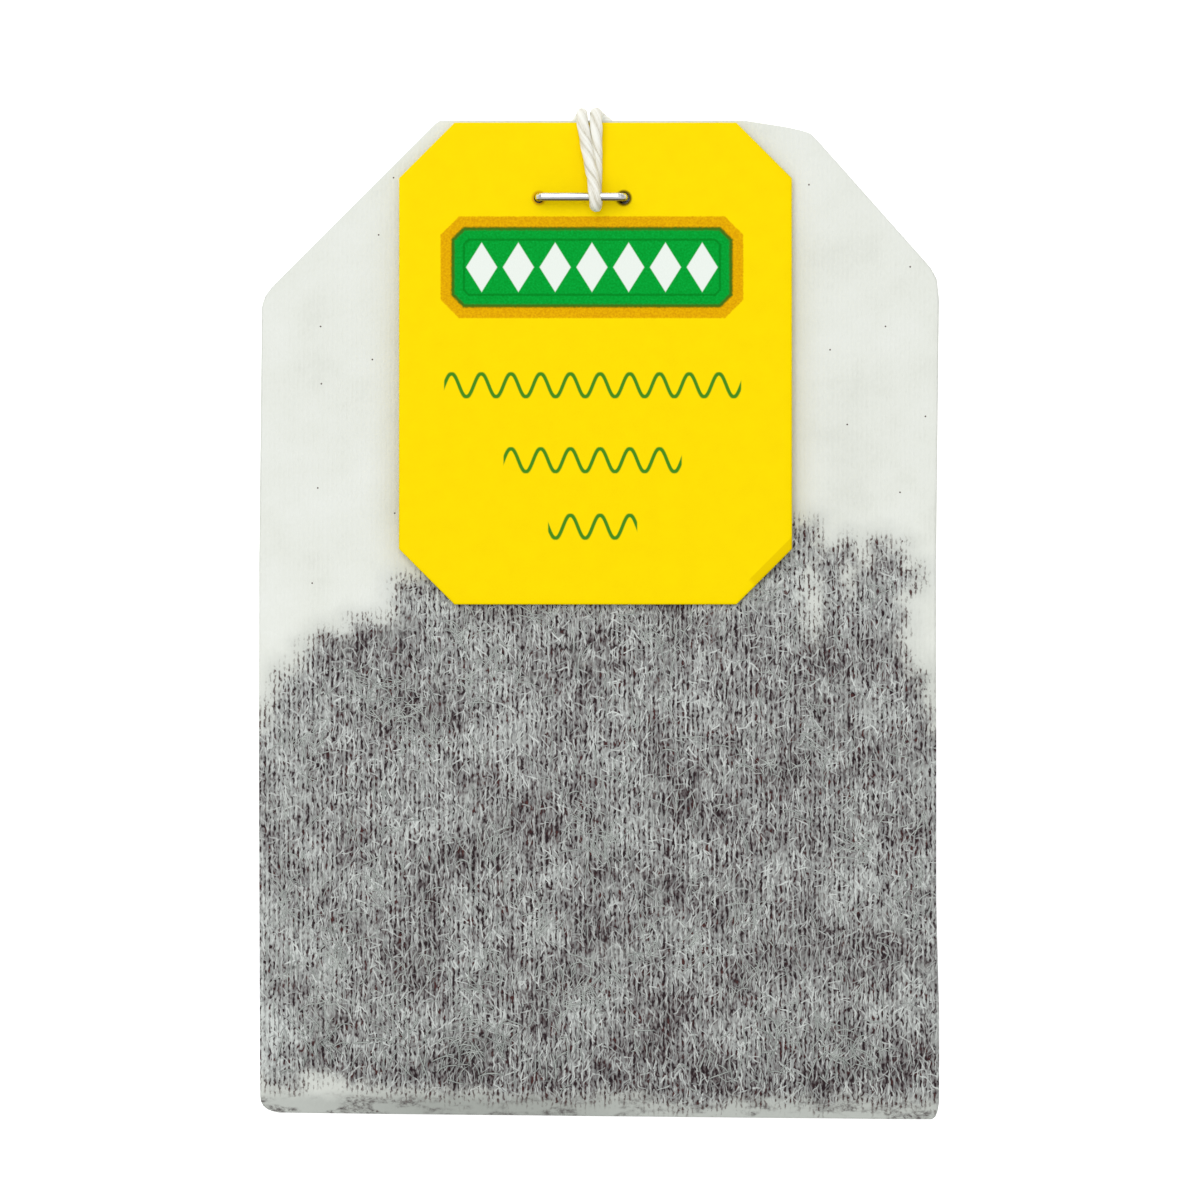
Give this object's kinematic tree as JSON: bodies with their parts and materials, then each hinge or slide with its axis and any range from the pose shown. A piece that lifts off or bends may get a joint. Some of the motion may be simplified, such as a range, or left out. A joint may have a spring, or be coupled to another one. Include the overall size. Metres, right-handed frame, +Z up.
{
  "type": "tea bag",
  "caption": "Double-chamber filter-paper tea bag with folded corners, loose black tea inside, and an eight-sided card tag held on by a wire staple and a cotton string.",
  "frame": {"origin": "centre of the footprint on the surface the bag lies on", "axes": "+X across the bag, +Y towards the end with the tag's staple, +Z up through the thickness, tag side up"},
  "size_m": [0.0482, 0.0717, 0.0061],
  "materials": {
    "filter_paper": "thin off-white fibrous filter paper, slightly see-through",
    "tea": "dry cut black tea, matte",
    "tag_card": "bright yellow coated card, satin",
    "staple_wire": "bright drawn wire",
    "cotton": "twisted off-white cotton"
  },
  "bodies": {
    "root": {"filter_paper": "filter_paper", "tea_leaves_front": "tea", "tea_leaves_back": "tea", "tag": "tag_card", "tag_staple": "staple_wire", "bag_staple": "staple_wire", "string": "cotton"}
  },
  "joints": []
}
